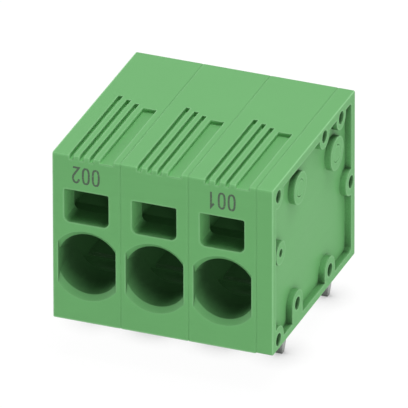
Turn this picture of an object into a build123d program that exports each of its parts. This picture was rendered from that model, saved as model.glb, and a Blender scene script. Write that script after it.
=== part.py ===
"""Three-pole spring-clamp terminal block for a printed circuit board, in millimetres.

Three equal housing modules stand side by side along X and an end cover closes the last one.
Each module holds a current bar with four square solder pins and a bent leaf spring.
The wires enter the front face (-Y). +Z is up, away from the board.
The origin is at the middle of the housing's underside, where it sits on the board.
"""

import math
import os

from build123d import *

# Overall sizes
POLES = 3
PITCH = 10.0
COVER = 2.48
DEPTH = 31.98
HEIGHT = 25.74
WIDTH = POLES * PITCH + COVER

# Screwdriver opening above the wire entry, measured from the left front bottom corner
PILOT_LEFT = 1.70
PILOT_RIGHT = 8.27
PILOT_BOTTOM = HEIGHT - 10.44
PILOT_TOP = HEIGHT - 5.39
PILOT_LOWER_R = 0.85
PILOT_UPPER_R = 0.25

# Walls of one housing module
SIDE_WALL = 0.76
FLOOR = 1.6
ROOF = 1.74
ROOF_UNDERSIDE = HEIGHT - ROOF
BACK_WALL = 1.28
BACK_INSIDE = DEPTH - BACK_WALL
PILOT_WALL = 3.9
THROAT_END = 7.1
SHELF = PILOT_BOTTOM - 0.7
FRONT_TOP_R = 0.4
BACK_TOP_R = 0.3
SEAM_DEPTH = 0.05
SEAM_HALF = 0.2

# Wire entry: a countersunk lip and a slightly narrowing bore, both cut by two flats
ENTRY_X = 5.02
ENTRY_Z = PILOT_BOTTOM - 6.5
LIP_R = 5.36
LIP_DEPTH = 0.7
BORE_R = 4.65
BORE_LEFT = 0.76
BORE_RIGHT = 9.28
BORE_END = 4.6
THROAT_R = 4.25

# Grooves in the roof, each as left edge, right edge and how far it runs back, and the
# wider seat of a marker strip beside them
GROOVES = [(2.48, 3.12, 18.75), (3.98, 4.62, 18.0), (5.46, 6.08, 17.3)]
GROOVE_DEPTH = 0.7
MARKER_SEAT = (7.0, 9.0, 16.5)
MARKER_DEPTH = 0.6

# Locking pegs and their holes, as depth and height, all of one size
LOCKS = [
    (2.15, HEIGHT - 1.89),
    (DEPTH - 11.98, HEIGHT - 1.39),
    (DEPTH - 5.48, HEIGHT - 1.64),
    (DEPTH - 1.63, HEIGHT - 13.59),
    (DEPTH - 9.88, 2.45),
    (9.5, 3.55),
    (2.15, 1.55),
]
LOCK_HOLE_R = 0.93
LOCK_FIT = 0.05
LOCK_PEG_LENGTH = 1.3
LOCK_RIB_R = 1.3
LOCK_BOSS_R = [1.85, 1.85, 1.8, 2.05, 2.0, 2.0, 2.0]

# Posts that carry the spring, as depth and height, and the bosses on the cover
FRONT_POST = (10.6, HEIGHT - 4.74)
FRONT_POST_R = 1.8
REAR_POST = (DEPTH - 7.08, HEIGHT - 6.44)
REAR_POST_R = 1.9
POST_HOLE_R = 1.28
POST_FIT = 0.05
POST_BEVEL = 0.1
POST_SOCKET = 2.55
POST_BOSS_R = [2.4, 2.5]
POST_COLLAR_R = 2.5
POST_COLLAR = 0.6

# Current bar
BAR_LEFT = 0.9
BAR_RIGHT = 9.9
BAR_FRONT = 10.95
BAR_END_GAP = 0.15
BAR_BACK = BACK_INSIDE - BAR_END_GAP
BAR_BOTTOM = 3.8
BAR_THICK = 1.0
BAR_NOSE = 0.35
BAR_RESTS = [(14.5, 15.7), (DEPTH - 6.48, DEPTH - 5.28)]
RIDGES = [19.0, 20.4, 21.8, 23.2]
RIDGE_R = 0.22

# Leaf spring
STRIP = 0.7
SPRING_LEFT = 1.5
SPRING_WIDTH = 7.0
SPRING_FIT = 0.05
SPRING_TIP = (21.6, BAR_BOTTOM + BAR_THICK + 0.55)
HOOK_END = -30.0
HOOK_TAIL = 1.2

# Solder pins
PIN_X = [1.65, 8.98]
PIN_Y = [11.84, DEPTH - 2.37]
PIN_WIDE = 1.4
PIN_DEEP = 1.3
PIN_LENGTH = 6.0
PIN_TAPER = 1.6
PIN_TIP_WIDE = 1.0
PIN_TIP_DEEP = 0.85
PIN_SHOULDER = 0.3
PIN_SHOULDER_HIGH = 0.8
PIN_SLOT_FIT = 0.1

# Recess in the outer face of the end cover
RECESS = 0.97
RECESS_FRONT = 1.2
RECESS_BACK = DEPTH - 1.53
RECESS_BOTTOM = 1.27
RECESS_TOP = HEIGHT - 1.29
RECESS_CORNER_R = 0.6
COVER_OUTER_R = 0.22
COVER_BOTTOM_R = 0.3
SMALL_HOLE = (3.07, HEIGHT - 11.14)
SMALL_HOLE_R = 0.6
SMALL_BOSS_R = 1.75
SMALL_HOLE_DEPTH = 1.6


def block(x0, x1, y0, y1, z0, z1):
    """A box between two corners."""
    return Pos(x0, y0, z0) * Box(x1 - x0, y1 - y0, z1 - z0, align=(Align.MIN,) * 3)


def rod(centre, radius, x0, x1):
    """A cylinder along X about a depth and a height."""
    y, z = centre
    shape = Cylinder(radius, x1 - x0, align=(Align.CENTER, Align.CENTER, Align.MIN))
    return Pos(x0, y, z) * Rot(0, 90, 0) * shape


def side_profile(points, x0, x1):
    """A closed outline of depths and heights, extruded along X."""
    outline = make_face(Polyline(*[(y, z) for y, z in points], close=True))
    return Pos(x0, 0, 0) * extrude(Plane.YZ * outline, x1 - x0)


def front_bore(radius_in, radius_out, y0, y1):
    """A round or conical space about the wire entry's axis."""
    if radius_in == radius_out:
        shape = Cylinder(radius_in, y1 - y0, align=(Align.CENTER, Align.CENTER, Align.MIN))
    else:
        shape = Cone(radius_out, radius_in, y1 - y0, align=(Align.CENTER, Align.CENTER, Align.MIN))
    return Pos(ENTRY_X, y0, ENTRY_Z) * Rot(-90, 0, 0) * shape


def outer_block(width, rounds):
    """A block as deep and high as the housing, with its long edges rounded."""
    body = block(0, width, 0, DEPTH, 0, HEIGHT)
    for depth, height, radius in rounds:
        edges = body.edges().filter_by(Axis.X)
        edge = edges.sort_by_distance((width / 2, depth, height))[0]
        body = fillet(edge, radius)
    return body


def seam_bevel(face):
    """Breaks a side face's edges into half of the shallow seam between two modules."""
    return chamfer(face.edges(), SEAM_DEPTH, SEAM_HALF, reference=face)


def bevel_ring(body, middle, size):
    """Bevels the round edge that lies nearest to its own middle."""
    rings = body.edges().filter_by(GeomType.CIRCLE)
    return chamfer(rings.sort_by_distance(middle)[0], size)


def lock_rib(index):
    """The solid round a locking hole and its peg where they stand clear of the walls."""
    y, z = LOCKS[index]
    rib = rod(LOCKS[index], LOCK_RIB_R, SIDE_WALL / 2, PITCH)
    if FLOOR < z < 5.0 and y > THROAT_END:
        foot = block(SIDE_WALL / 2, PITCH, y - LOCK_RIB_R, y + LOCK_RIB_R, FLOOR / 2, z)
        rib = rib + foot
    return rib


def housing():
    """One module: a shell open to the right, with posts, ribs, pegs and holes."""
    body = outer_block(PITCH, [(0, HEIGHT, FRONT_TOP_R), (DEPTH, HEIGHT, BACK_TOP_R)])
    body = seam_bevel(body.faces().sort_by(Axis.X)[0])
    body = seam_bevel(body.faces().sort_by(Axis.X)[-1])

    chamber = [
        (THROAT_END, FLOOR),
        (THROAT_END, SHELF),
        (PILOT_WALL, SHELF),
        (PILOT_WALL, ROOF_UNDERSIDE),
        (BACK_INSIDE, ROOF_UNDERSIDE),
        (BACK_INSIDE, FLOOR),
    ]
    body -= side_profile(chamber, SIDE_WALL, PITCH + 1)
    for index in range(1, 6):
        body += lock_rib(index)
    for y0, y1 in BAR_RESTS:
        body += block(SIDE_WALL / 2, PITCH - 0.1, y0, y1, FLOOR / 2, BAR_BOTTOM)

    flats = block(BORE_LEFT, BORE_RIGHT, -1, THROAT_END, 0, SHELF)
    slope = (LIP_R - BORE_R) / LIP_DEPTH
    body -= front_bore(BORE_R, LIP_R + slope, -1, LIP_DEPTH) & flats
    body -= front_bore(THROAT_R, BORE_R, LIP_DEPTH, BORE_END) & flats
    body -= front_bore(THROAT_R, THROAT_R, BORE_END - 0.1, THROAT_END + 0.1)

    pilot = block(PILOT_LEFT, PILOT_RIGHT, -1, PILOT_WALL + 0.1, PILOT_BOTTOM, PILOT_TOP)
    along = pilot.edges().filter_by(Axis.Y).sort_by(Axis.Z)
    pilot = fillet(along[:2], PILOT_LOWER_R)
    along = pilot.edges().filter_by(Axis.Y).sort_by(Axis.Z)
    pilot = fillet(along[-2:], PILOT_UPPER_R)
    body -= pilot

    for left, right, back in GROOVES:
        body -= block(left, right, -1, back, HEIGHT - GROOVE_DEPTH, HEIGHT + 1)
    left, right, back = MARKER_SEAT
    body -= block(left, right, -1, back, HEIGHT - MARKER_DEPTH, HEIGHT + 1)

    slot_half = PIN_DEEP / 2 + PIN_SLOT_FIT
    for y in PIN_Y:
        left = PIN_X[0] - PIN_WIDE / 2 - PIN_SLOT_FIT
        body -= block(left, PITCH + 1, y - slot_half, y + slot_half, -1, FLOOR + 0.1)

    posts = zip([FRONT_POST, REAR_POST], [FRONT_POST_R, REAR_POST_R])
    for centre, radius in posts:
        body += rod(centre, POST_COLLAR_R, SIDE_WALL / 2, SIDE_WALL + POST_COLLAR)
        body += rod(centre, radius, SIDE_WALL / 2, PITCH)
        body -= rod(centre, POST_HOLE_R, -1, POST_SOCKET)
        body += rod(centre, POST_HOLE_R - POST_FIT, PITCH - 0.1, PITCH + COVER)
        body = bevel_ring(body, (PITCH + COVER, *centre), POST_BEVEL)

    for centre in LOCKS:
        body -= rod(centre, LOCK_HOLE_R, -1, COVER)
        body += rod(centre, LOCK_HOLE_R - LOCK_FIT, PITCH - 0.1, PITCH + LOCK_PEG_LENGTH)
    return body


def boss(centre, radius, x0, x1):
    """A round boss that runs straight down to the lower rim where it stands near it."""
    y, z = centre
    shape = rod(centre, radius, x0, x1)
    if RECESS_BOTTOM < z < 5.0 and y > 2 * radius:
        shape += block(x0, x1, y - radius, y + radius, RECESS_BOTTOM / 2, z)
    return shape


def end_cover():
    """The plate that closes the last module, recessed outside, with bosses and holes."""
    rims = [
        (0, HEIGHT, FRONT_TOP_R),
        (DEPTH, HEIGHT, BACK_TOP_R),
        (0, 0, COVER_BOTTOM_R),
        (DEPTH, 0, COVER_BOTTOM_R),
    ]
    body = outer_block(COVER, rims)
    outer = body.faces().sort_by(Axis.X)[-1]
    body = fillet(outer.edges(), COVER_OUTER_R)
    body = seam_bevel(body.faces().sort_by(Axis.X)[0])

    hollow = block(COVER - RECESS, COVER + 1, RECESS_FRONT, RECESS_BACK, RECESS_BOTTOM, RECESS_TOP)
    hollow = fillet(hollow.edges().filter_by(Axis.X), RECESS_CORNER_R)
    for centre, radius in zip(LOCKS, LOCK_BOSS_R):
        hollow -= boss(centre, radius, 0, COVER + 2)
    for centre, radius in zip([FRONT_POST, REAR_POST], POST_BOSS_R):
        hollow -= boss(centre, radius, 0, COVER + 2)
    hollow -= rod(SMALL_HOLE, SMALL_BOSS_R, 0, COVER + 2)
    body -= hollow

    for centre in LOCKS:
        body -= rod(centre, LOCK_HOLE_R, -1, COVER + 1)
    for centre in [FRONT_POST, REAR_POST]:
        body -= rod(centre, POST_HOLE_R, -1, COVER + 1)
        body = bevel_ring(body, (COVER, *centre), POST_BEVEL)
    body -= rod(SMALL_HOLE, SMALL_HOLE_R, COVER - SMALL_HOLE_DEPTH, COVER + 1)
    return body


def on_circle(centre, radius, degrees):
    """The point of a circle at an angle from the depth axis, counted towards up."""
    angle = math.radians(degrees)
    return (centre[0] + radius * math.cos(angle), centre[1] + radius * math.sin(angle))


def spring_side(shift):
    """One side of the bent strip, from the clamping edge round both posts to the hook's end."""
    front_r = FRONT_POST_R + SPRING_FIT + STRIP / 2
    rear_r = REAR_POST_R + SPRING_FIT + STRIP / 2
    reach = math.dist(FRONT_POST, SPRING_TIP)
    sight = math.degrees(math.atan2(SPRING_TIP[1] - FRONT_POST[1], SPRING_TIP[0] - FRONT_POST[0]))
    leg_turn = sight + math.degrees(math.asin(front_r / reach))
    span = math.dist(FRONT_POST, REAR_POST)
    lean = math.degrees(math.atan2(REAR_POST[1] - FRONT_POST[1], REAR_POST[0] - FRONT_POST[0]))
    back_turn = lean - math.degrees(math.asin((rear_r - front_r) / span))

    front_r += shift
    rear_r += shift
    tip = on_circle(SPRING_TIP, shift, leg_turn - 90)
    leg_start = on_circle(FRONT_POST, front_r, leg_turn - 90)
    bend_middle = on_circle(FRONT_POST, front_r, (leg_turn + back_turn) / 2 + 180)
    bend_end = on_circle(FRONT_POST, front_r, back_turn + 90)
    hook_start = on_circle(REAR_POST, rear_r, back_turn + 90)
    hook_middle = on_circle(REAR_POST, rear_r, (back_turn + 90 + HOOK_END) / 2)
    hook_end = on_circle(REAR_POST, rear_r, HOOK_END)
    tail = on_circle(hook_end, HOOK_TAIL, HOOK_END - 90)
    return tip, tail, [
        Line(tip, leg_start),
        ThreePointArc(leg_start, bend_middle, bend_end),
        Line(bend_end, hook_start),
        ThreePointArc(hook_start, hook_middle, hook_end),
        Line(hook_end, tail),
    ]


def spring():
    """The one-piece leaf spring: clamping leg, bend round the front post, back and hook."""
    inner_tip, inner_tail, inner = spring_side(-STRIP / 2)
    outer_tip, outer_tail, outer = spring_side(STRIP / 2)
    ends = [Line(inner_tail, outer_tail), Line(outer_tip, inner_tip)]
    outline = make_face([edge for curve in inner + outer + ends for edge in curve.edges()])
    return Pos(SPRING_LEFT, 0, 0) * extrude(Plane.YZ * outline, SPRING_WIDTH)


def current_bar():
    """A flat bar with ridges under the clamping edge and square holes for its four pins."""
    top = BAR_BOTTOM + BAR_THICK
    bar = block(BAR_LEFT, BAR_RIGHT, BAR_FRONT, BAR_BACK, BAR_BOTTOM, top)
    nose = bar.edges().filter_by(Axis.X).sort_by_distance((5, BAR_FRONT, top))[0]
    bar = chamfer(nose, BAR_NOSE)
    for y in RIDGES:
        bar += rod((y, top), RIDGE_R, SPRING_LEFT, SPRING_LEFT + SPRING_WIDTH)
    for x in PIN_X:
        for y in PIN_Y:
            hole = Box(PIN_WIDE, PIN_DEEP, 4 * BAR_THICK)
            bar -= Pos(x, y, BAR_BOTTOM) * hole
    return bar


def solder_pin(x, y):
    """A square pin set in the bar, with a shoulder under it and a four-sided taper below."""
    top = BAR_BOTTOM + BAR_THICK
    half_w = PIN_WIDE / 2
    half_d = PIN_DEEP / 2
    pin = block(x - half_w, x + half_w, y - half_d, y + half_d, PIN_TAPER - PIN_LENGTH, top)
    shoulder_low = BAR_BOTTOM - PIN_SHOULDER_HIGH
    pin += block(
        x - half_w,
        x + half_w,
        y - half_d - PIN_SHOULDER,
        y + half_d + PIN_SHOULDER,
        shoulder_low,
        BAR_BOTTOM,
    )
    root = Plane((x, y, PIN_TAPER - PIN_LENGTH)) * Rectangle(PIN_WIDE, PIN_DEEP)
    tip = Plane((x, y, -PIN_LENGTH)) * Rectangle(PIN_TIP_WIDE, PIN_TIP_DEEP)
    pin += loft([tip.face(), root.face()])
    return pin


def save(shape, name, x_offset=0.0):
    """Writes one piece in the shared frame."""
    placed = Pos(x_offset - WIDTH / 2, -DEPTH / 2, 0) * shape
    export_step(placed, f"parts/{name}.step")


def main():
    os.makedirs("parts", exist_ok=True)
    module = housing()
    bar = current_bar()
    leaf = spring()
    for pole in range(POLES):
        start = pole * PITCH
        number = pole + 1
        save(module, f"housing_{number}", start)
        save(bar, f"current_bar_{number}", start)
        save(leaf, f"spring_{number}", start)
        for row, y in zip(["front", "rear"], PIN_Y):
            for side, x in zip(["left", "right"], PIN_X):
                save(solder_pin(x, y), f"pin_{number}_{row}_{side}", start)
    save(end_cover(), "end_cover", POLES * PITCH)


main()
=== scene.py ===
"""Looks of a three-pole spring-clamp terminal block for a printed circuit board.

The file is laid out as a Blender add-on and is run as a script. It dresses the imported
solids in moulded plastic and tinned metal, makes the bent springs, the solder pins and the
printed pole numbers as surfaces of their own, and sets up the floor, lamps and camera.
Lengths are in metres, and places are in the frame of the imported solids.
"""

import math

import bpy
import numpy as np
from bpy.props import FloatProperty, FloatVectorProperty, PointerProperty
from mathutils import Matrix, Vector


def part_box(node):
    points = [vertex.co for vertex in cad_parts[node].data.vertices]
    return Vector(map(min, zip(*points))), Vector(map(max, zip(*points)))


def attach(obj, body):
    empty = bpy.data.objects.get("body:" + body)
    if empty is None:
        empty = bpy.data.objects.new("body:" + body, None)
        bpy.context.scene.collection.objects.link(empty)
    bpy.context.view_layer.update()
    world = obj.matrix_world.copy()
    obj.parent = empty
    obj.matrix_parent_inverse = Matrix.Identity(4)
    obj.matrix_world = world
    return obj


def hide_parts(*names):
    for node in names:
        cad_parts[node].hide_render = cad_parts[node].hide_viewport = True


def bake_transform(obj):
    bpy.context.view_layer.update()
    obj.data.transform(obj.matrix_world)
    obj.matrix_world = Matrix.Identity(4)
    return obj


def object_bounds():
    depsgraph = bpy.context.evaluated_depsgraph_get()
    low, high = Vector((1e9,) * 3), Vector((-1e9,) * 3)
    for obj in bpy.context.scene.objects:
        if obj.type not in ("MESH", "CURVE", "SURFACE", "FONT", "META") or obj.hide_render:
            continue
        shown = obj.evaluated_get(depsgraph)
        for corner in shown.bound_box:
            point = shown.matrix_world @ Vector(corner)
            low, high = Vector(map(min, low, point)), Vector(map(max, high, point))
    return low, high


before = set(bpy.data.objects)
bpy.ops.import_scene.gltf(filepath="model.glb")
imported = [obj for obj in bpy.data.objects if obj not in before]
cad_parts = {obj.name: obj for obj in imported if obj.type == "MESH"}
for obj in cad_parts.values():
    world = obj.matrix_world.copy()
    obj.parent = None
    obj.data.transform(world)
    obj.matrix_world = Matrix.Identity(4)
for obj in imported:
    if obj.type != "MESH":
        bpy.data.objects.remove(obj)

CAD_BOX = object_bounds()

bl_info = {
    "name": "Terminal Block Looks",
    "version": (1, 0, 0),
    "blender": (4, 5, 0),
    "location": "3D View > Sidebar > Terminal Block",
    "description": "Finishes, springs, pins, pole numbers and stage of a terminal block",
    "category": "Object",
}

MM = 0.001
POLES = 3
BLOCK = "block"
HOUSINGS = [f"housing_{pole}" for pole in range(1, POLES + 1)]
BARS = [f"current_bar_{pole}" for pole in range(1, POLES + 1)]
PINS = sorted(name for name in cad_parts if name.startswith("pin_"))
FRONT_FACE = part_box("housing_1")[0].y
FLOOR_HEIGHT = CAD_BOX[0].z


def left_edge(pole):
    """The left side of one pole's housing, in metres."""
    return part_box(HOUSINGS[pole - 1])[0].x


class TerminalBlockSizes(bpy.types.PropertyGroup):
    strip: FloatProperty(
        name="Spring strip",
        description="Thickness of the steel that the springs are bent from",
        default=0.7 * MM,
        unit="LENGTH",
    )
    strip_edge: FloatProperty(
        name="Strip edge",
        description="Radius of the rounded edges of the spring strip",
        default=0.12 * MM,
        unit="LENGTH",
    )
    pin_edge: FloatProperty(
        name="Pin edge",
        description="Radius of the four long edges of a solder pin",
        default=0.12 * MM,
        unit="LENGTH",
    )
    digit_height: FloatProperty(
        name="Digit height",
        description="Height of a printed digit",
        default=2.62 * MM,
        unit="LENGTH",
    )
    digit_width: FloatProperty(
        name="Digit width",
        description="Width of a printed digit between the middles of its strokes",
        default=0.88 * MM,
        unit="LENGTH",
    )
    stroke: FloatProperty(
        name="Stroke",
        description="Width of a printed stroke",
        default=0.30 * MM,
        unit="LENGTH",
    )


class TerminalBlockFinish(bpy.types.PropertyGroup):
    plastic: FloatVectorProperty(
        name="Plastic",
        description="Colour of the moulded housings and the end cover",
        default=(0.170, 0.475, 0.170),
        subtype="COLOR",
    )
    tin: FloatVectorProperty(
        name="Tin",
        description="Colour of the tin on the bars and pins",
        default=(0.44, 0.46, 0.44),
        subtype="COLOR",
    )
    steel: FloatVectorProperty(
        name="Spring steel",
        description="Colour of the spring strip",
        default=(0.20, 0.21, 0.21),
        subtype="COLOR",
    )
    ink: FloatVectorProperty(
        name="Ink",
        description="Colour of the printed pole numbers",
        default=(0.070, 0.105, 0.070),
        subtype="COLOR",
    )


class TerminalBlockStage(bpy.types.PropertyGroup):
    azimuth: FloatProperty(
        name="Azimuth",
        description="How far the camera stands to the right of the front",
        default=math.radians(21.138),
        subtype="ANGLE",
    )
    elevation: FloatProperty(
        name="Elevation",
        description="How far the camera stands above the horizon",
        default=math.radians(28.056),
        subtype="ANGLE",
    )
    roll: FloatProperty(
        name="Roll",
        description="Turn of the camera about its own axis",
        default=math.radians(-0.119),
        subtype="ANGLE",
    )
    distance: FloatProperty(
        name="Distance",
        description="From the camera to the point that it looks at",
        default=2.351,
        unit="LENGTH",
    )
    lens: FloatProperty(
        name="Lens",
        description="Focal length in millimetres on a sensor 36 mm wide",
        default=1500.0,
    )
    world_level: FloatProperty(
        name="Room light",
        description="Level of the even light from all round",
        default=0.20,
    )


def unit_vectors(angles):
    """The vectors (cos, sin) of angles in radians."""
    return np.stack([np.cos(angles), np.sin(angles)], -1)


def ring_quads(count, around, closed=False):
    """Quads that join each ring of points to the next, and the last to the first if closed.

    Ring step and place in the ring give a point's number: step times around plus place.
    """
    steps = np.arange(count if closed else count - 1)
    step, turn = np.meshgrid(steps, np.arange(around), indexing="ij")
    after = (turn + 1) % around
    low, high = step * around, (step + 1) % count * around
    return np.stack([low + turn, high + turn, high + after, low + after], -1).reshape(-1, 4)


def new_mesh(name, points, faces):
    """A mesh from its points and faces."""
    mesh = bpy.data.meshes.new(name)
    mesh.from_pydata(points.tolist(), [], faces)
    mesh.update()
    return mesh


def swept_mesh(name, rings):
    """A closed skin through rings of points, an array of path steps by ring points by XYZ.

    Quad faces join each ring to the next, and one flat face closes each end. The rings run
    so that, seen along the path, their points go clockwise, which turns the faces outwards.
    """
    steps, around, _ = rings.shape
    first = list(range(around))
    last = list(range((steps - 1) * around, steps * around))[::-1]
    faces = ring_quads(steps, around).tolist() + [first, last]
    return new_mesh(name, rings.reshape(-1, 3), faces)


def rounded_rectangle(half_wide, half_high, radius, corner_steps=4):
    """Points round a rectangle with round corners, anticlockwise.

    Each corner is a quarter circle of the radius about a centre set in by the radius from
    both sides: centre plus radius times (cos, sin) of the angle.
    """
    quarter = np.linspace(0, np.pi / 2, corner_steps + 1)
    angles = np.concatenate([quarter + turn * np.pi / 2 for turn in range(4)])
    signs = np.repeat([[1, 1], [-1, 1], [-1, -1], [1, -1]], corner_steps + 1, axis=0)
    centres = signs * np.array([half_wide - radius, half_high - radius])
    return centres + radius * unit_vectors(angles)


def link_object(name, data):
    """An object of the scene with its mesh, lamp or camera."""
    made = bpy.data.objects.new(name, data)
    bpy.context.scene.collection.objects.link(made)
    return made


def add_piece(name, mesh, material, smooth_angle=30.0):
    """An object at the origin with the mesh, one material and smooth round faces."""
    mesh.materials.append(material)
    mesh.polygons.foreach_set("use_smooth", np.ones(len(mesh.polygons), bool))
    mesh.set_sharp_from_angle(angle=math.radians(smooth_angle))
    return link_object(name, mesh)


def set_inputs(tree, node, values):
    """Gives each input a plain value or another node's output."""
    for socket, value in values.items():
        if isinstance(value, bpy.types.NodeSocket):
            tree.links.new(value, node.inputs[socket])
        else:
            node.inputs[socket].default_value = value


def add_node(tree, kind, inputs=None, **settings):
    """A node with its settings and inputs."""
    made = tree.nodes.new(kind)
    for name, value in settings.items():
        setattr(made, name, value)
    set_inputs(tree, made, inputs or {})
    return made


def math_node(tree, operation, *values, clamp=False):
    """The output of a Math node over two or three values or outputs."""
    made = add_node(tree, "ShaderNodeMath", dict(enumerate(values)), operation=operation)
    made.use_clamp = clamp
    return made.outputs[0]


def less(tree, mask, share=1.0):
    """A factor of 1 where the mask is 0, smaller by the share where the mask is 1."""
    return math_node(tree, "MULTIPLY_ADD", mask, -share, 1.0)


def spread(tree, value, low, high, to_low=0.0, to_high=1.0):
    """The value's range from low to high, carried over to another range and held in it."""
    made = add_node(
        tree,
        "ShaderNodeMapRange",
        {"Value": value, "From Min": low, "From Max": high, "To Min": to_low, "To Max": to_high},
    )
    return made.outputs["Result"]


def mix(tree, factor, first, second, kind="FLOAT"):
    """The first value where the factor is 0 and the second where it is 1."""
    inputs = {"Factor": factor, "A": first, "B": second}
    return add_node(tree, "ShaderNodeMix", inputs, data_type=kind).outputs["Result"]


def axes(tree, vector):
    """The X, Y and Z of a vector."""
    return add_node(tree, "ShaderNodeSeparateXYZ", {0: vector}).outputs


def openness(tree, reach, samples, **settings):
    """1 where nothing stands within reach of the surface, and less the more does."""
    made = add_node(
        tree, "ShaderNodeAmbientOcclusion", {"Distance": reach}, samples=samples, **settings
    )
    return made.outputs["AO"]


def new_group(name, inputs, outputs):
    """An empty shader node group: its tree, its inputs' sockets and its output node.

    The inputs are floats with their values. An output called Normal is a vector, and all
    others are floats.
    """
    tree = bpy.data.node_groups.new(name, "ShaderNodeTree")
    for socket, value in inputs.items():
        made = tree.interface.new_socket(socket, in_out="INPUT", socket_type="NodeSocketFloat")
        made.default_value = value
    for socket in outputs:
        kind = "NodeSocketVector" if socket == "Normal" else "NodeSocketFloat"
        tree.interface.new_socket(socket, in_out="OUTPUT", socket_type=kind)
    return tree, tree.nodes.new("NodeGroupInput").outputs, tree.nodes.new("NodeGroupOutput")


def object_point(tree, stretch=(1, 1, 1)):
    """Object coordinates, stretched along the axes."""
    point = add_node(tree, "ShaderNodeTexCoord").outputs["Object"]
    if stretch == (1, 1, 1):
        return point
    return add_node(tree, "ShaderNodeMapping", {"Vector": point, "Scale": stretch}).outputs[0]


def noise(tree, scale, detail=2.0, stretch=(1, 1, 1), distortion=0.0):
    """A noise from 0 to 1 over the object, with so many cells to the metre."""
    made = add_node(
        tree,
        "ShaderNodeTexNoise",
        {
            "Vector": object_point(tree, stretch),
            "Scale": scale,
            "Detail": detail,
            "Distortion": distortion,
        },
    )
    return made.outputs["Fac"]


EDGE_SAMPLES = 8
HOLLOW_SAMPLES = 10


# The Rounded Edge mask sets where the materials paint a highlight.
def edge_group():
    """Where an outward edge is near: a mask, and the surface's normal rounded over the edge.

    The mask looks from just under the surface into the solid. There an outward edge shows as
    another face close by, and an inward corner doesn't.
    """
    tree, inputs, end = new_group(
        "Rounded Edge",
        {"Radius": 0.14 * MM, "Reach": 0.30 * MM, "Start": 0.97, "Full": 0.78},
        ["Mask", "Normal"],
    )
    rounded = add_node(tree, "ShaderNodeBevel", {"Radius": inputs["Radius"]}, samples=EDGE_SAMPLES)
    under = openness(tree, inputs["Reach"], EDGE_SAMPLES, inside=True, only_local=True)
    mask = spread(tree, under, inputs["Start"], inputs["Full"])
    set_inputs(tree, end, {"Mask": mask, "Normal": rounded.outputs[0]})
    return tree


def seam_group():
    """Where a joint between two mouldings is near: 1 on the joint, 0 beyond its bevels."""
    tree, inputs, end = new_group("Seam", {"Near": 0.10 * MM, "Far": 0.26 * MM}, ["Mask"])
    across = axes(tree, object_point(tree))["X"]
    nearest = 1.0
    for place in [left_edge(2), left_edge(3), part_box("end_cover")[0].x]:
        gap = math_node(tree, "ABSOLUTE", math_node(tree, "SUBTRACT", across, place))
        nearest = math_node(tree, "MINIMUM", gap, nearest)
    mask = spread(tree, nearest, inputs["Near"], inputs["Far"], 1.0, 0.0)
    set_inputs(tree, end, {"Mask": mask})
    return tree


# The Outer Edge mask sets where the plastic paints its strongest highlight.
def outer_edge_group():
    """Where one of the block's twelve outer edges is near: 1 on the edge, 0 beyond it.

    The gap to the nearer side of the block's box is taken along each axis. The smallest gap
    tells how far the point is from a side, and the middle one how far from an edge.
    """
    tree, inputs, end = new_group("Outer Edge", {"Near": 0.10 * MM, "Far": 0.17 * MM}, ["Mask"])
    place = axes(tree, object_point(tree))
    sides = [*zip(*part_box("end_cover"))]
    sides[0] = (CAD_BOX[0].x, CAD_BOX[1].x)
    gaps = []
    for axis, (low, high) in zip("XYZ", sides):
        off_middle = math_node(tree, "SUBTRACT", place[axis], (high + low) / 2)
        off_middle = math_node(tree, "ABSOLUTE", off_middle)
        gaps.append(math_node(tree, "SUBTRACT", (high - low) / 2, off_middle))
    least = math_node(tree, "MINIMUM", gaps[0], gaps[1])
    most = math_node(tree, "MAXIMUM", gaps[0], gaps[1])
    middle = math_node(tree, "MAXIMUM", least, math_node(tree, "MINIMUM", most, gaps[2]))
    mask = spread(tree, middle, inputs["Near"], inputs["Far"], 1.0, 0.0)
    set_inputs(tree, end, {"Mask": mask})
    return tree


COVER_CORNER_SHARE = 0.35
LEVEL_FACE = 0.5


# The Deep Hollow masks set where the materials paint shade and a glow.
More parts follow.
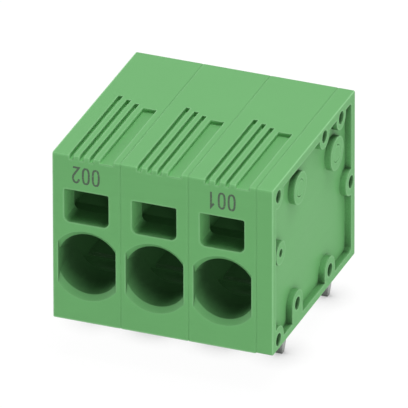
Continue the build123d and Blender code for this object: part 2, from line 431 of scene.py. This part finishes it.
def hollow_group():
    """How shut in a place is: 0 on open faces and 1 in corners, in a hollow or at its far end.

    Corners count the piece's own walls alone, and count less on the outside of the end
    cover, to the right of the Side. The shallow grooves of the roof, which lie above the
    Roof height, don't count as hollows. The release openings, which lie above the Sill
    height and left of the Side, are lit from the right: their corners don't count, they are
    hollows only from deeper in, and their level faces sooner than their walls. Far End is 1
    where hardly any light comes in, and High Far takes some of it off in those openings.
    """
    tree, inputs, end = new_group(
        "Deep Hollow",
        {
            "Reach": 14 * MM,
            "Clear": 0.95,
            "Corner": 0.70,
            "Open": 0.50,
            "Shut": 0.36,
            "High Open": 0.12,
            "High Shut": 0.04,
            "Own Open": 0.31,
            "Own Shut": 0.23,
            "Level Open": 0.42,
            "Level Shut": 0.30,
            "Far": 0.30,
            "End": 0.10,
            "High Far": -0.5,
            "Sill": 14.5 * MM,
            "Side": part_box("end_cover")[0].x,
            "Roof": CAD_BOX[1].z - 1.0 * MM,
        },
        ["Corner Mask", "Mask", "Far End"],
    )
    own = openness(tree, inputs["Reach"], HOLLOW_SAMPLES, only_local=True)
    near = openness(tree, inputs["Reach"], HOLLOW_SAMPLES, only_local=False)
    place = axes(tree, object_point(tree))
    under_roof = math_node(tree, "LESS_THAN", place["Z"], inputs["Roof"])
    above_sill = math_node(tree, "GREATER_THAN", place["Z"], inputs["Sill"])
    left_of_side = math_node(tree, "LESS_THAN", place["X"], inputs["Side"])
    high = math_node(tree, "MULTIPLY", above_sill, left_of_side)

    corner = spread(tree, own, inputs["Clear"], inputs["Corner"])
    corner = math_node(tree, "MULTIPLY", corner, less(tree, high))
    side_share = spread(tree, left_of_side, 0.0, 1.0, COVER_CORNER_SHARE, 1.0)
    corner = math_node(tree, "MULTIPLY", corner, side_share)

    up = axes(tree, add_node(tree, "ShaderNodeNewGeometry").outputs["Normal"])["Z"]
    level_face = math_node(tree, "GREATER_THAN", up, LEVEL_FACE)
    level = spread(tree, own, inputs["Level Open"], inputs["Level Shut"])
    high_shut = math_node(tree, "MULTIPLY", level, level_face)
    for part in (
        spread(tree, near, inputs["High Open"], inputs["High Shut"]),
        spread(tree, own, inputs["Own Open"], inputs["Own Shut"]),
    ):
        high_shut = math_node(tree, "MAXIMUM", high_shut, part)
    shut = mix(tree, high, spread(tree, near, inputs["Open"], inputs["Shut"]), high_shut)

    far = spread(tree, near, inputs["Far"], inputs["End"])
    high_far = math_node(tree, "MULTIPLY_ADD", high, inputs["High Far"], 1.0)
    set_inputs(
        tree,
        end,
        {
            "Corner Mask": math_node(tree, "MULTIPLY", corner, under_roof),
            "Mask": math_node(tree, "MULTIPLY", shut, under_roof),
            "Far End": math_node(tree, "MULTIPLY", far, high_far),
        },
    )
    return tree


def about_one(tree, pattern, mean, variation):
    """The pattern's distance from its mean, times the variation, plus 1."""
    centred = math_node(tree, "SUBTRACT", pattern, mean)
    return math_node(tree, "MULTIPLY_ADD", centred, variation, 1.0)


NOISE_MEAN = 0.5
FINE_SHARE = 0.6
SCRATCH_SHARE = 0.4


def grain_group():
    """The skin of a moulded part: fine spark-eroded grain, broad mottle and flow streaks."""
    tree, inputs, end = new_group(
        "Moulded Grain",
        {"Grain": 4200.0, "Mottle": 130.0, "Streak": 90.0, "Variation": 0.05},
        ["Tone", "Height", "Gloss"],
    )
    fine = noise(tree, inputs["Grain"], 3.0)
    broad = noise(tree, inputs["Mottle"], 3.0)
    streak = noise(tree, inputs["Streak"], 2.0, (1, 1, 9), 0.6)
    coarse = math_node(tree, "ADD", broad, streak)
    pattern = math_node(tree, "MULTIPLY_ADD", fine, FINE_SHARE, coarse)
    mean = (2 + FINE_SHARE) * NOISE_MEAN
    tone = about_one(tree, pattern, mean, inputs["Variation"])
    gloss = math_node(tree, "MULTIPLY_ADD", broad, 0.5, fine)
    set_inputs(tree, end, {"Tone": tone, "Height": fine, "Gloss": gloss})
    return tree


def metal_group():
    """Drawn and plated metal: fine scratches along Y and a cloudy bloom."""
    tree, inputs, end = new_group(
        "Plated Metal",
        {"Scratches": 5200.0, "Bloom": 700.0, "Variation": 0.25},
        ["Tone", "Height", "Gloss"],
    )
    scratch = noise(tree, inputs["Scratches"], 2.0, (1, 0.06, 1))
    bloom = noise(tree, inputs["Bloom"], 4.0, distortion=0.4)
    pattern = math_node(tree, "MULTIPLY_ADD", scratch, SCRATCH_SHARE, bloom)
    mean = (1 + SCRATCH_SHARE) * NOISE_MEAN
    tone = about_one(tree, pattern, mean, inputs["Variation"])
    set_inputs(tree, end, {"Tone": tone, "Height": scratch, "Gloss": bloom})
    return tree


def place_group(tree, name, maker, inputs=None):
    """The outputs of a node group placed in a material, made when it is first asked for."""
    made = tree.nodes.new("ShaderNodeGroup")
    made.node_tree = bpy.data.node_groups.get(name) or maker()
    set_inputs(tree, made, inputs or {})
    return made.outputs


def tinted(tree, colour, tone):
    """The colour times a tone that changes over the surface."""
    inputs = {0: colour, "Scale": tone}
    return add_node(tree, "ShaderNodeVectorMath", inputs, operation="SCALE").outputs["Vector"]


def bumped(tree, height, strength, distance, **inputs):
    """The normal tilted by the slope of a height that is counted in the distance."""
    inputs = {"Height": height, "Strength": strength, "Distance": distance, **inputs}
    return add_node(tree, "ShaderNodeBump", inputs).outputs[0]


def cleared_tree(owner):
    """The emptied node tree of a material or a world."""
    owner.use_nodes = True
    owner.node_tree.nodes.clear()
    return owner.node_tree


def new_material(name):
    """An empty material with its Principled BSDF and its output."""
    material = bpy.data.materials.new(name)
    tree = cleared_tree(material)
    shader = tree.nodes.new("ShaderNodeBsdfPrincipled")
    add_node(tree, "ShaderNodeOutputMaterial", {"Surface": shader.outputs[0]})
    return material, tree, shader


# Painted glow: faint green emission deep in hollows, where little light comes in.
PAINTED_GLOW = (0.007, 0.024, 0.007)
# Painted highlight: the pale green that outward edges are mixed towards, and its shares on edges
# and on the block's outer edges.
HIGHLIGHT_PLASTIC = (0.33, 0.66, 0.33, 1)
EDGE_HIGHLIGHT, OUTER_EDGE_HIGHLIGHT = 0.3, 0.5
CORNER_SHADE, HOLLOW_SHADE, SEAM_SHADE = 0.36, 0.78, 0.05
METAL_EDGE_HIGHLIGHT, METAL_HOLLOW_SHADE = 0.25, 0.9
PLASTIC_GLOSS, PLASTIC_ROUGHNESS = (0.3, 1.2), (0.44, 0.62)
METAL_GLOSS, SMOOTHER, ROUGHER = (0.25, 0.75), 0.08, 0.1
INK_SPECKLE, INK_PATCH, INK_THIN = 5200.0, 900.0, (0.5, 0.75)
INK_GLOSS, INK_ROUGHNESS = (0.3, 0.7), (0.55, 0.75)


def add_painted_glow(tree, shader, far_end):
    """Adds a faint painted green glow, as emission, where the far end of a hollow gets little
    light.
    """
    light = tinted(tree, PAINTED_GLOW, far_end)
    set_inputs(tree, shader, {"Emission Color": light, "Emission Strength": 1.0})


def plastic_material(finish):
    """Moulded green plastic: satin and finely grained, with painted highlights on its edges,
    painted shade in corners and hollows and a faint painted glow deep inside.
    """
    material, tree, shader = new_material("moulded_green_plastic")
    grain = place_group(tree, "Moulded Grain", grain_group)
    edge = place_group(tree, "Rounded Edge", edge_group)
    seam = place_group(tree, "Seam", seam_group)["Mask"]
    outer = place_group(tree, "Outer Edge", outer_edge_group)["Mask"]
    hollow = place_group(tree, "Deep Hollow", hollow_group)

    base = tinted(tree, tuple(finish.plastic), grain["Tone"])
    # Painted highlight: edges away from the joints, and most of all the block's twelve outer
    # edges, are mixed towards a pale green.
    open_edge = math_node(tree, "MULTIPLY", edge["Mask"], less(tree, seam))
    highlight_share = math_node(tree, "MULTIPLY", open_edge, EDGE_HIGHLIGHT)
    highlight_share = math_node(tree, "MULTIPLY_ADD", outer, OUTER_EDGE_HIGHLIGHT, highlight_share, clamp=True)
    highlighted = mix(tree, highlight_share, base, HIGHLIGHT_PLASTIC, "RGBA")

    # Painted shade: darker in corners and hollows, and a little darker on the joints.
    corner = less(tree, hollow["Corner Mask"], CORNER_SHADE)
    shade = math_node(tree, "MULTIPLY", corner, less(tree, hollow["Mask"], HOLLOW_SHADE))
    shade = math_node(tree, "MULTIPLY_ADD", seam, -SEAM_SHADE, shade)
    add_painted_glow(tree, shader, hollow["Far End"])
    set_inputs(
        tree,
        shader,
        {
            "Base Color": tinted(tree, highlighted, shade),
            "Roughness": spread(tree, grain["Gloss"], *PLASTIC_GLOSS, *PLASTIC_ROUGHNESS),
            "Normal": bumped(tree, grain["Height"], 0.35, 0.02 * MM, Normal=edge["Normal"]),
            "Specular IOR Level": 0.2,
        },
    )
    return material


def metal_material(name, colour, roughness, variation):
    """Plated or drawn metal with its bloom and scratches, a painted highlight on its edges and
    painted shade in hollows.

    Deep in the housing it has a faint painted green glow.
    """
    material, tree, shader = new_material(name)
    skin = place_group(tree, "Plated Metal", metal_group, {"Variation": variation})
    edge = place_group(
        tree, "Rounded Edge", edge_group, {"Radius": 0.06 * MM, "Reach": 0.15 * MM}
    )
    hollow = place_group(
        tree, "Deep Hollow", hollow_group, {"Open": 0.44, "Shut": 0.28, "Sill": CAD_BOX[1].z}
    )
    # Painted highlight on the edges and painted shade in hollows, over the metal's own tone.
    tone_with_painted_light = math_node(tree, "MULTIPLY_ADD", edge["Mask"], METAL_EDGE_HIGHLIGHT, skin["Tone"])
    tone_with_painted_light = math_node(tree, "MULTIPLY", tone_with_painted_light, less(tree, hollow["Mask"], METAL_HOLLOW_SHADE))
    add_painted_glow(tree, shader, hollow["Far End"])
    smooth, rough = roughness - SMOOTHER, roughness + ROUGHER
    set_inputs(
        tree,
        shader,
        {
            "Base Color": tinted(tree, tuple(colour), tone_with_painted_light),
            "Roughness": spread(tree, skin["Gloss"], *METAL_GLOSS, smooth, rough),
            "Normal": bumped(tree, skin["Height"], 0.3, 0.01 * MM, Normal=edge["Normal"]),
            "Metallic": 1.0,
        },
    )
    return material


def ink_material(finish):
    """Printing ink: dark, dull, thinner in places so that some plastic shows through."""
    material, tree, shader = new_material("printing_ink")
    speckle = noise(tree, INK_SPECKLE, 3.0)
    patch = noise(tree, INK_PATCH, 2.0)
    thin = math_node(tree, "MULTIPLY", spread(tree, speckle, *INK_THIN), patch)
    set_inputs(
        tree,
        shader,
        {
            "Base Color": mix(tree, thin, (*finish.ink, 1), (*finish.plastic, 1), "RGBA"),
            "Roughness": spread(tree, speckle, *INK_GLOSS, *INK_ROUGHNESS),
            "Normal": bumped(tree, speckle, 0.3, 0.01 * MM),
        },
    )
    return material


def dress(node, material):
    """Gives a solid of the frame its material and leaves its mesh alone."""
    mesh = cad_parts[node].data
    if not mesh.materials:
        mesh.materials.append(material)
    for place in range(len(mesh.materials)):
        mesh.materials[place] = material


class TERMINALBLOCK_OT_housings(bpy.types.Operator):
    """Finishes the housings and the end cover in moulded plastic"""

    bl_idname = "terminal_block.housings"
    bl_label = "Finish Housings"

    def execute(self, context):
        material = plastic_material(context.scene.terminal_block_finish)
        for node in [*HOUSINGS, "end_cover"]:
            dress(node, material)
        return {"FINISHED"}


class TERMINALBLOCK_OT_bars(bpy.types.Operator):
    """Finishes the current bars in dull tin"""

    bl_idname = "terminal_block.bars"
    bl_label = "Finish Current Bars"

    def execute(self, context):
        finish = context.scene.terminal_block_finish
        material = metal_material("tinned_bar", finish.tin, roughness=0.42, variation=0.25)
        for node in BARS:
            dress(node, material)
        return {"FINISHED"}


PIN_SHAFT = np.array([0.70, 0.65]) * MM
PIN_TIP = np.array([0.50, 0.425]) * MM
PIN_TAPER = 1.6 * MM
SHOULDER_LOW, SHOULDER_TOP = 3.0 * MM, 3.8 * MM
SHOULDER_OUT = np.array([0.0, 0.3]) * MM
SHOULDER_BEVEL = 0.08 * MM
END_LENGTH, END_STEP, END_INSET = 0.6, 0.3, 0.8
EDGE_HALF = 0.6 * MM


def pin_rows(top, tip, edge):
    """Heights and half sizes down one solder pin, as an array of height, half X, half Y.

    The shaft is as wide as its node's box and less deep than the bevelled shoulder under
    the bar. Its last part narrows evenly to the tip, whose end is rounded in two steps. The
    end is END_LENGTH of the edge's radius long, and the other shares are of the end.
    """
    end = edge * END_LENGTH
    near_tip = PIN_TIP + (PIN_SHAFT - PIN_TIP) * (end / PIN_TAPER)
    rows = [
        (top, PIN_SHAFT - end),
        (top, PIN_SHAFT),
        (SHOULDER_TOP, PIN_SHAFT),
        (SHOULDER_TOP - SHOULDER_BEVEL, PIN_SHAFT + SHOULDER_OUT),
        (SHOULDER_LOW + SHOULDER_BEVEL, PIN_SHAFT + SHOULDER_OUT),
        (SHOULDER_LOW, PIN_SHAFT),
        (tip + PIN_TAPER, PIN_SHAFT),
        (tip + end, near_tip),
        (tip + end * END_STEP, near_tip - end * END_STEP),
        (tip, PIN_TIP - end * END_INSET),
    ]
    return np.array([[height, *half] for height, half in rows])


def pin_mesh(node, edge):
    """One solder pin: a square ring with round corners, carried down the pin's axis.

    Each ring is the unit outline scaled to the half sizes of its row, so its points are
    centre plus (half X times u, half Y times v, height). The edge's radius is right where
    the pin's half size is EDGE_HALF.
    """
    low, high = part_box(node)
    middle = (low + high) / 2
    rows = pin_rows(high.z, low.z, edge)
    outline = rounded_rectangle(1.0, 1.0, edge / EDGE_HALF)
    rings = np.empty((len(rows), len(outline), 3))
    rings[..., 0] = middle.x + rows[:, 1:2] * outline[None, :, 0]
    rings[..., 1] = middle.y + rows[:, 2:3] * outline[None, :, 1]
    rings[..., 2] = rows[:, 0:1]
    return swept_mesh(f"{node}_shape", rings)


class TERMINALBLOCK_OT_pins(bpy.types.Operator):
    """Makes the solder pins with rounded edges and dull tin"""

    bl_idname = "terminal_block.pins"
    bl_label = "Make Solder Pins"

    def execute(self, context):
        scene = context.scene
        tin = scene.terminal_block_finish.tin
        material = metal_material("tinned_pin", tin, roughness=0.5, variation=0.3)
        for node in PINS:
            mesh = pin_mesh(node, scene.terminal_block_sizes.pin_edge)
            piece = add_piece(f"{node}_tinned", mesh, material)
            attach(piece, BLOCK)
            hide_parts(node)
        return {"FINISHED"}


FRONT_POST = np.array([10.6, 21.0]) * MM
FRONT_BEND = 1.85 * MM
REAR_POST = np.array([24.9, 19.3]) * MM
REAR_BEND = 1.95 * MM
SPRING_TIP = np.array([21.6, 5.35]) * MM
SPRING_LEFT = 1.5 * MM
SPRING_WIDTH = 7.0 * MM
HOOK_END = -30.0
HOOK_TAIL = 1.2 * MM
LEG_POINTS, BEND_POINTS, BACK_POINTS, HOOK_POINTS, TAIL_POINTS = 24, 33, 12, 25, 5


def spring_middle(pole):
    """The middle of one spring's width."""
    return left_edge(pole) + SPRING_LEFT + SPRING_WIDTH / 2


def straight(start, end, count):
    """Evenly spaced points: start plus a growing share of the way to end."""
    return start + np.linspace(0, 1, count)[:, None] * (end - start)


def spring_path(strip):
    """Points of depth and height along the strip's middle, and the outward normals there.

    The clamping leg is straight from the tip to a circle round the front post, the bend
    follows that circle, the back runs straight to a circle round the rear post, and the
    hook follows that one and ends in a short straight tail. Angles are in degrees from the
    depth axis, counted towards up. A point on a bend is its post's place plus its radius
    times (cos, sin) of its angle.
    """
    front_r, rear_r = FRONT_BEND + strip / 2, REAR_BEND + strip / 2
    sight = SPRING_TIP - FRONT_POST
    leg = np.degrees(np.arctan2(sight[1], sight[0]) + np.arcsin(front_r / np.hypot(*sight)))
    span = REAR_POST - FRONT_POST
    lean = np.arctan2(span[1], span[0])
    back = np.degrees(lean - np.arcsin((rear_r - front_r) / np.hypot(*span)))

    bend_turns = np.linspace(leg + 270.0, back + 90.0, BEND_POINTS)
    hook_turns = np.linspace(back + 90.0, HOOK_END, HOOK_POINTS)
    bend = FRONT_POST + front_r * unit_vectors(np.radians(bend_turns))
    hook = REAR_POST + rear_r * unit_vectors(np.radians(hook_turns))
    tail = hook[-1] + HOOK_TAIL * unit_vectors(np.radians(HOOK_END - 90))
    runs = [
        (straight(SPRING_TIP, bend[0], LEG_POINTS), np.full(LEG_POINTS, bend_turns[0])),
        (bend, bend_turns),
        (straight(bend[-1], hook[0], BACK_POINTS), np.full(BACK_POINTS, hook_turns[0])),
        (hook, hook_turns),
        (straight(hook[-1], tail, TAIL_POINTS), np.full(TAIL_POINTS, HOOK_END)),
    ]
    points, turns = [
        np.concatenate([parts[0], *[part[1:] for part in parts[1:]]]) for parts in zip(*runs)
    ]
    return points, unit_vectors(np.radians(turns))


def spring_mesh(pole, strip, edge):
    """One leaf spring: a rounded strip section carried along the bent path.

    A point is the path's point plus the section's height times the path's normal, and the
    section's width runs along X.
    """
    points, normals = spring_path(strip)
    section = rounded_rectangle(SPRING_WIDTH / 2, strip / 2, edge)
    rings = np.empty((len(points), len(section), 3))
    rings[..., 0] = spring_middle(pole) + section[None, :, 0]
    flat = points[:, None, :] + normals[:, None, :] * section[None, :, 1:2]
    rings[..., 1] = FRONT_FACE + flat[..., 0]
    rings[..., 2] = flat[..., 1]
    return swept_mesh(f"spring_{pole}_shape", rings)


class TERMINALBLOCK_OT_springs(bpy.types.Operator):
    """Makes the bent leaf springs"""

    bl_idname = "terminal_block.springs"
    bl_label = "Make Springs"

    def execute(self, context):
        scene = context.scene
        sizes = scene.terminal_block_sizes
        steel = scene.terminal_block_finish.steel
        material = metal_material("spring_steel", steel, roughness=0.34, variation=0.3)
        for pole in range(1, POLES + 1):
            mesh = spring_mesh(pole, sizes.strip, sizes.strip_edge)
            piece = add_piece(f"spring_{pole}_strip", mesh, material)
            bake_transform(piece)
            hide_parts(f"spring_{pole}")
        return {"FINISHED"}


PRINT_RIGHT = 7.0 * MM
PRINT_TOP = 24.1 * MM
PRINT_STEP = 1.46 * MM
PRINT_ROOT, PRINT_PROUD = 0.01 * MM, 0.012 * MM
POLE_NUMBERS = {1: "002", 3: "001"}
ZERO_POWER, ZERO_POINTS = 0.72, 40
ONE_LINE = np.array([[0.14, 0.76], [0.62, 1.0], [0.62, 0.0]])
TWO_BOWL, TWO_BOWL_HALF = np.array([0.5, 0.71]), np.array([0.5, 0.29])
TWO_ARC, TWO_POINTS = (172, -38), 22
TWO_FOOT = np.array([[0.02, 0.0], [1.0, 0.0]])
NO_LENGTH = 1e-12


def digit_line(digit):
    """The middle line of a digit in a square from 0 to 1, and whether it closes on itself.

    0 is a squarish ring: (cos, sin) each raised to a power below 1 with its sign kept. 1 is
    a flag and a stem. 2 is a part of an ellipse, a slant and a foot: a point of the ellipse
    is the bowl's middle plus its half sizes times (cos, sin).
    """
    if digit == "0":
        ring = unit_vectors(np.linspace(0, 2 * np.pi, ZERO_POINTS, endpoint=False))
        return 0.5 + 0.5 * np.sign(ring) * np.abs(ring) ** ZERO_POWER, True
    if digit == "1":
        return ONE_LINE, False
    arc = unit_vectors(np.radians(np.linspace(*TWO_ARC, TWO_POINTS)))
    return np.concatenate([TWO_BOWL + TWO_BOWL_HALF * arc, TWO_FOOT]), False


def stroke_sides(line, closed, half):
    """The two sides of a stroke, at its half width either side of its middle line.

    At each point the side lies along the mean of the two neighbouring normals, divided by
    the cosine of half the turn, so that both runs keep their width at a corner.
    """
    ahead = np.roll(line, -1, 0) - line
    ahead /= np.hypot(*ahead.T)[:, None] + NO_LENGTH
    behind = np.roll(ahead, 1, 0)
    if not closed:
        ahead[-1], behind[0] = behind[-1], ahead[0]
    normal = np.stack([-(ahead + behind)[:, 1], (ahead + behind)[:, 0]], -1)
    normal /= np.hypot(*normal.T)[:, None]
    across = np.stack([-ahead[:, 1], ahead[:, 0]], -1)
    offset = normal * half / np.sum(normal * across, -1, keepdims=True)
    return line + offset, line - offset


def print_mesh(name, text, pole, sizes):
    """Printed digits, upside down on the front face, as one mesh of thin raised strokes.

    Each stroke is a flat band with sides. A point of the digit's square goes to X counted
    back from the right-hand end and Z counted down from the top, which turns it over.
    """
    face, proud = FRONT_FACE + PRINT_ROOT, FRONT_FACE - PRINT_PROUD
    right, top = left_edge(pole) + PRINT_RIGHT, PRINT_TOP
    points, faces = [], []
    for place, digit in enumerate(text):
        line, closed = digit_line(digit)
        line = line * [sizes.digit_width, sizes.digit_height - sizes.stroke]
        left_side, right_side = stroke_sides(line, closed, sizes.stroke / 2)
        corners = np.stack([left_side, left_side, right_side, right_side], 1)
        count, around = corners.shape[:2]
        ring = np.empty((count, around, 3))
        ring[..., 0] = right - place * PRINT_STEP - sizes.stroke / 2 - corners[..., 0]
        ring[..., 1] = [face, proud, proud, face]
        ring[..., 2] = top - sizes.stroke / 2 - corners[..., 1]
        first = sum(len(earlier) for earlier in points)
        faces += (first + ring_quads(count, around, closed)[:, ::-1]).tolist()
        if not closed:
            ends = np.array([[3, 2, 1, 0], np.arange(around) + around * (count - 1)])
            faces += (first + ends).tolist()
        points.append(ring.reshape(-1, 3))
    return new_mesh(name, np.concatenate(points), faces)


class TERMINALBLOCK_OT_numbers(bpy.types.Operator):
    """Prints plain pole numbers over the outer two poles, to be read from above"""

    bl_idname = "terminal_block.numbers"
    bl_label = "Print Pole Numbers"

    def execute(self, context):
        scene = context.scene
        material = ink_material(scene.terminal_block_finish)
        for pole, text in POLE_NUMBERS.items():
            name = f"pole_number_{pole}"
            mesh = print_mesh(f"{name}_shape", text, pole, scene.terminal_block_sizes)
            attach(add_piece(name, mesh, material), BLOCK)
        return {"FINISHED"}


# Azimuth and elevation in degrees, sizes in metres, and the light's level on the object.
LAMPS = {
    "overhead": dict(azimuth=120, elevation=80, wide=0.4, high=0.4, level=0.68),
    "left": dict(azimuth=-70, elevation=6, wide=0.3, high=0.1, level=0.30),
    "right": dict(azimuth=50, elevation=6, wide=0.7, high=0.1, level=0.56),
    "back": dict(azimuth=235, elevation=12, wide=0.3, high=0.3, level=0.30),
}
LAMP_DISTANCE = 0.6
LAMP_TARGET = Vector((0, 0, 10 * MM))
AIM = Vector((-0.24, 0.01, 12.0)) * MM
AIM_RIGHT, AIM_UP = 0.1537, 0.5948
SENSOR_WIDTH = 36.0
CAMERA_CLIP = (0.5, 10.0)
FLOOR_REACH = 4.0
WHITE = (1, 1, 1, 1)
FLOOR_GREY = (0.6, 0.6, 0.6, 1)
SHADOWED_GREY = (0.06, 0.06, 0.06, 1)
# Painted shadow on the floor: how far it reaches, and how the camera's white dims with openness.
PAINTED_SHADOW_REACH, PAINTED_SHADOW_SAMPLES = 5 * MM, 8
PAINTED_SHADOW_OPENNESS, PAINTED_SHADOW_LEVEL = (0.6, 0.98), (0.5, 0.97)


def away(azimuth, elevation):
    """The direction from the object towards an azimuth and elevation in radians."""
    level = math.cos(elevation)
    return Vector((math.sin(azimuth) * level, -math.cos(azimuth) * level, math.sin(elevation)))


def seen_ray(tree):
    """1 for rays that show the backdrop: straight from the camera, mirrored or refracted."""
    path = add_node(tree, "ShaderNodeLightPath").outputs
    mirrored = math_node(tree, "MAXIMUM", path["Is Camera Ray"], path["Is Glossy Ray"])
    return math_node(tree, "MAXIMUM", mirrored, path["Is Transmission Ray"])


def make_world(level):
    """Even white light from all round, and a white backdrop for what the camera sees."""
    world = bpy.data.worlds.new("studio")
    tree = cleared_tree(world)
    strength = mix(tree, seen_ray(tree), level, 1.0)
    shader = add_node(tree, "ShaderNodeBackground", {"Color": WHITE, "Strength": strength})
    add_node(tree, "ShaderNodeOutputWorld", {"Surface": shader.outputs[0]})
    bpy.context.scene.world = world


def floor_material():
    """A pale floor, plain to the light. The camera sees it white with the real shadow faint, and a
    painted shadow greys it close to the object.
    """
    material = bpy.data.materials.new("studio_floor")
    tree = cleared_tree(material)
    plain = add_node(tree, "ShaderNodeBsdfDiffuse", {"Color": FLOOR_GREY})
    shadowed = add_node(tree, "ShaderNodeBsdfDiffuse", {"Color": SHADOWED_GREY})
    # Painted shadow: the white that the camera sees is dimmed close to the object.
    near = openness(tree, PAINTED_SHADOW_REACH, PAINTED_SHADOW_SAMPLES)
    level = spread(tree, near, *PAINTED_SHADOW_OPENNESS, *PAINTED_SHADOW_LEVEL)
    white = add_node(tree, "ShaderNodeEmission", {"Color": WHITE, "Strength": level})
    seen = add_node(tree, "ShaderNodeAddShader", {0: shadowed.outputs[0], 1: white.outputs[0]})
    mixed = add_node(
        tree,
        "ShaderNodeMixShader",
        {0: seen_ray(tree), 1: plain.outputs[0], 2: seen.outputs[0]},
    )
    add_node(tree, "ShaderNodeOutputMaterial", {"Surface": mixed.outputs[0]})
    return material


def make_floor():
    """A square floor under the object."""
    corners = np.array([[-1, -1, 0], [1, -1, 0], [1, 1, 0], [-1, 1, 0]]) * FLOOR_REACH
    mesh = new_mesh("floor", corners + [0, 0, FLOOR_HEIGHT], [[0, 1, 2, 3]])
    mesh.materials.append(floor_material())
    return link_object("floor", mesh)


def make_lamps():
    """Area lamps, each with its level times the square of pi times its distance as power."""
    for name, lamp in LAMPS.items():
        light = bpy.data.lights.new(name, "AREA")
        light.shape, light.size, light.size_y = "RECTANGLE", lamp["wide"], lamp["high"]
        light.energy = lamp["level"] * (math.pi * LAMP_DISTANCE) ** 2
        towards = away(math.radians(lamp["azimuth"]), math.radians(lamp["elevation"]))
        holder = link_object(name, light)
        holder.location = LAMP_TARGET + towards * LAMP_DISTANCE
        holder.rotation_euler = (-towards).to_track_quat("-Z", "Y").to_euler()


def make_camera(stage):
    """The camera, turned about its own axis by the roll and aimed near the block's middle."""
    back = away(stage.azimuth, stage.elevation)
    right = Vector((math.cos(stage.azimuth), math.sin(stage.azimuth), 0))
    up = back.cross(right)
    aim = AIM + (right * AIM_RIGHT + up * AIM_UP) * MM
    turned_right = right * math.cos(stage.roll) + up * math.sin(stage.roll)
    turned_up = back.cross(turned_right)
    camera = bpy.data.cameras.new("camera")
    camera.lens, camera.sensor_width = stage.lens, SENSOR_WIDTH
    camera.clip_start, camera.clip_end = CAMERA_CLIP
    holder = link_object("camera", camera)
    turn = Matrix((turned_right, turned_up, back)).transposed()
    holder.matrix_world = Matrix.Translation(aim + back * stage.distance) @ turn.to_4x4()
    return holder


class TERMINALBLOCK_OT_stage(bpy.types.Operator):
    """Sets up the floor, the lamps, the backdrop and the camera"""

    bl_idname = "terminal_block.stage"
    bl_label = "Set Up Stage"

    def execute(self, context):
        scene = context.scene
        stage = scene.terminal_block_stage
        floor = make_floor()
        make_lamps()
        make_world(stage.world_level)
        scene.camera = make_camera(stage)
        scene.view_settings.view_transform = "Standard"
        return {"FINISHED"}


class TERMINALBLOCK_PT_looks(bpy.types.Panel):
    """Lists the steps that dress the terminal block"""

    bl_idname = "TERMINALBLOCK_PT_looks"
    bl_label = "Terminal Block"
    bl_space_type = "VIEW_3D"
    bl_region_type = "UI"
    bl_category = "Terminal Block"

    def draw(self, context):
        for operator in OPERATORS:
            self.layout.operator(operator.bl_idname)
        for group in ("terminal_block_sizes", "terminal_block_finish", "terminal_block_stage"):
            settings = getattr(context.scene, group)
            for name in settings.__annotations__:
                self.layout.prop(settings, name)


OPERATORS = [
    TERMINALBLOCK_OT_housings,
    TERMINALBLOCK_OT_bars,
    TERMINALBLOCK_OT_pins,
    TERMINALBLOCK_OT_springs,
    TERMINALBLOCK_OT_numbers,
    TERMINALBLOCK_OT_stage,
]
SETTINGS = {
    "terminal_block_sizes": TerminalBlockSizes,
    "terminal_block_finish": TerminalBlockFinish,
    "terminal_block_stage": TerminalBlockStage,
}


def register():
    for kind in [*SETTINGS.values(), *OPERATORS, TERMINALBLOCK_PT_looks]:
        bpy.utils.register_class(kind)
    for name, kind in SETTINGS.items():
        setattr(bpy.types.Scene, name, PointerProperty(type=kind))


def unregister():
    for name in SETTINGS:
        delattr(bpy.types.Scene, name)
    for kind in reversed([*SETTINGS.values(), *OPERATORS, TERMINALBLOCK_PT_looks]):
        bpy.utils.unregister_class(kind)


def main():
    register()
    bpy.ops.terminal_block.housings()
    bpy.ops.terminal_block.bars()
    bpy.ops.terminal_block.pins()
    bpy.ops.terminal_block.springs()
    bpy.ops.terminal_block.numbers()
    bpy.ops.terminal_block.stage()


if __name__ == "__main__":
    main()
